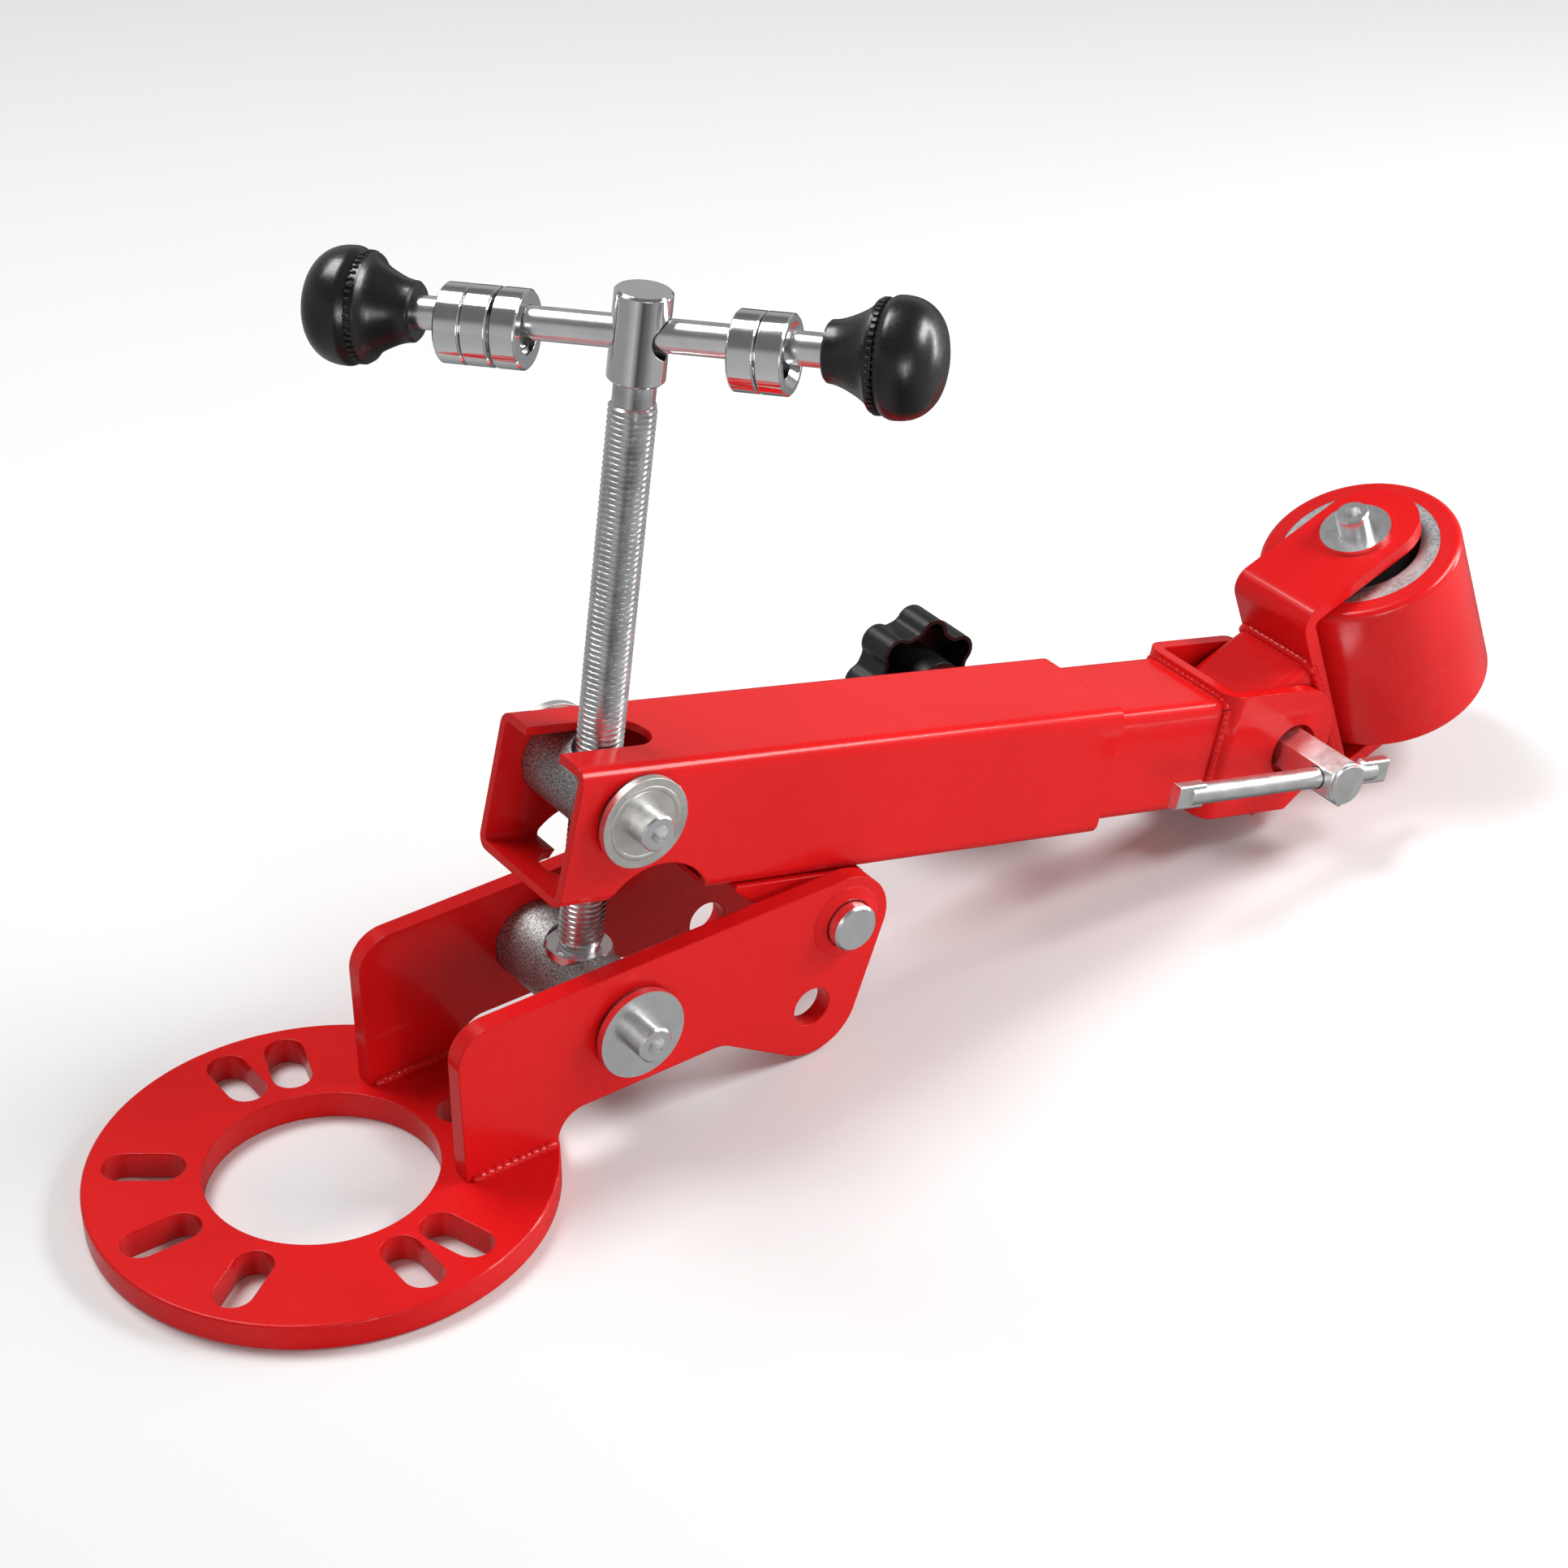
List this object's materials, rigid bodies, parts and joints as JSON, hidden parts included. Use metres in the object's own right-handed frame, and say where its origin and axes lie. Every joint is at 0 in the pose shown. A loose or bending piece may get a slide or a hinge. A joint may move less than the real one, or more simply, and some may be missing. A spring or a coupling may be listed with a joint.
{
  "type": "fender roller",
  "caption": "Hub-mounted fender roller: slotted hub plate, screw-tilted telescopic arm and a pitching fork with a polyurethane roller.",
  "frame": {"origin": "centre of the hub plate's bore, on its mounting face", "axes": "+Z away from the wheel hub, +X along the arm towards the roller, +Y to the star knob's side"},
  "size_m": [0.6016, 0.1792, 0.2992],
  "materials": {
    "red_paint": "gloss",
    "bright_steel": "satin",
    "polished_steel": "gloss",
    "zinc_steel": "satin",
    "blasted_steel": "matte",
    "screw_steel": "satin",
    "galvanised": "satin",
    "spring_steel": "satin",
    "core_steel": "satin",
    "bearing_seal": "satin",
    "black_gloss": "gloss",
    "black_matte": "matte",
    "red_urethane": "gloss"
  },
  "bodies": {
    "hub": {"hub_plate": "red_paint", "near_cheek": "red_paint", "far_cheek": "red_paint", "pivot_pin": "zinc_steel", "pivot_pin_clip": "spring_steel"},
    "arm": {"outer_tube": "red_paint", "pivot_lugs": "red_paint", "knob_nut": "red_paint"},
    "upper_carriage": {"upper_trunnion": "blasted_steel", "upper_washers": "zinc_steel", "upper_cap_screws": "bright_steel"},
    "lower_carriage": {"lower_trunnion": "bright_steel", "lower_washers": "bright_steel", "lower_cap_screws": "bright_steel"},
    "screw": {"adjusting_screw": "screw_steel", "thrust_collar": "bright_steel", "foot_clip": "spring_steel", "cross_head": "polished_steel"},
    "handle": {"handle_bar": "bright_steel", "knob_necks": "black_gloss", "knob_caps": "black_gloss"},
    "ring_1": {"spacer_1": "polished_steel"},
    "ring_2": {"spacer_2": "polished_steel"},
    "ring_3": {"spacer_3": "polished_steel"},
    "ring_4": {"spacer_4": "polished_steel"},
    "ring_5": {"spacer_5": "polished_steel"},
    "extension": {"inner_tube": "red_paint", "yoke": "red_paint", "clamp_bolt": "galvanised"},
    "star": {"star_knob": "black_matte", "knob_stud": "galvanised"},
    "nut": {"clamp_nut": "galvanised"},
    "tommy": {"tommy_bar": "galvanised"},
    "head": {"head_stub": "red_paint", "roller_fork": "red_paint", "roller_axle": "bright_steel", "axle_washers": "bright_steel", "axle_cap_screws": "bright_steel", "axle_spacers": "bright_steel", "bearing_races": "polished_steel"},
    "roller": {"roller_sleeve": "red_urethane", "roller_core": "core_steel", "bearing_shells": "bearing_seal"}
  },
  "joints": [
    {"name": "screw_spin", "type": "hinge", "parent": "lower_carriage", "child": "screw", "pos_m": [0.103, 0, 0.0445], "axis": [-0.1502, 0, -0.9887], "range_deg": [-2680, 3480]},
    {"name": "arm_tilt", "type": "hinge", "parent": "hub", "child": "arm", "pos_m": [0.1914, 0, 0.051], "axis": [0, 1, 0], "range_deg": [-10.4, 13.4]},
    {"name": "lower_tilt", "type": "hinge", "parent": "hub", "child": "lower_carriage", "pos_m": [0.103, 0, 0.0445], "axis": [0, 1, 0], "range_deg": [-7.5, 9.6]},
    {"name": "upper_tilt", "type": "hinge", "parent": "arm", "child": "upper_carriage", "pos_m": [0.11432, 0, 0.11905], "axis": [0, 1, 0], "range_deg": [-4, 3.1]},
    {"name": "handle_slide", "type": "slide", "parent": "screw", "child": "handle", "axis": [0.6089, -0.7927, 0.0308], "range_m": [-0.01, 0.0125]},
    {"name": "ring_3_slide", "type": "slide", "parent": "handle", "child": "ring_3", "axis": [0.6089, -0.7927, 0.0308], "range_m": [0, 0.012]},
    {"name": "ring_2_slide", "type": "slide", "parent": "ring_3", "child": "ring_2", "axis": [0.6089, -0.7927, 0.0308], "range_m": [-0.004, 0.0009]},
    {"name": "ring_1_slide", "type": "slide", "parent": "ring_2", "child": "ring_1", "axis": [0.6089, -0.7927, 0.0308], "range_m": [-0.004, 0]},
    {"name": "ring_4_slide", "type": "slide", "parent": "handle", "child": "ring_4", "axis": [0.6089, -0.7927, 0.0308], "range_m": [-0.01, 0]},
    {"name": "ring_5_slide", "type": "slide", "parent": "ring_4", "child": "ring_5", "axis": [0.6089, -0.7927, 0.0308], "range_m": [0, 0.0105]},
    {"name": "tube_slide", "type": "slide", "parent": "arm", "child": "extension", "axis": [0.9668, 0, -0.2554], "range_m": [-0.053, 0.06]},
    {"name": "knob_spin", "type": "hinge", "parent": "arm", "child": "star", "pos_m": [0.29725, 0, 0.06327], "axis": [0, 1, 0], "range_deg": [0, 540]},
    {"name": "head_pitch", "type": "hinge", "parent": "extension", "child": "head", "pos_m": [0.41065, 0, 0.03331], "axis": [0, -1, 0], "range_deg": [-60, 25]},
    {"name": "nut_spin", "type": "hinge", "parent": "extension", "child": "nut", "pos_m": [0.41065, 0, 0.03331], "axis": [0, 1, 0], "range_deg": [0, 360]},
    {"name": "tommy_slide", "type": "slide", "parent": "nut", "child": "tommy", "axis": [0.9668, 0, -0.2554], "range_m": [-0.005, 0.058]},
    {"name": "roller_spin", "type": "hinge", "parent": "head", "child": "roller", "pos_m": [0.47332, 0, 0.0605], "axis": [-0.309, 0, 0.9511], "continuous": true}
  ],
  "couplings": [
    {"joint": "arm_tilt", "follows": "screw_spin", "ratio": 0.0037304},
    {"joint": "lower_tilt", "follows": "screw_spin", "ratio": 0.0026695},
    {"joint": "upper_tilt", "follows": "screw_spin", "ratio": -0.0010609}
  ]
}
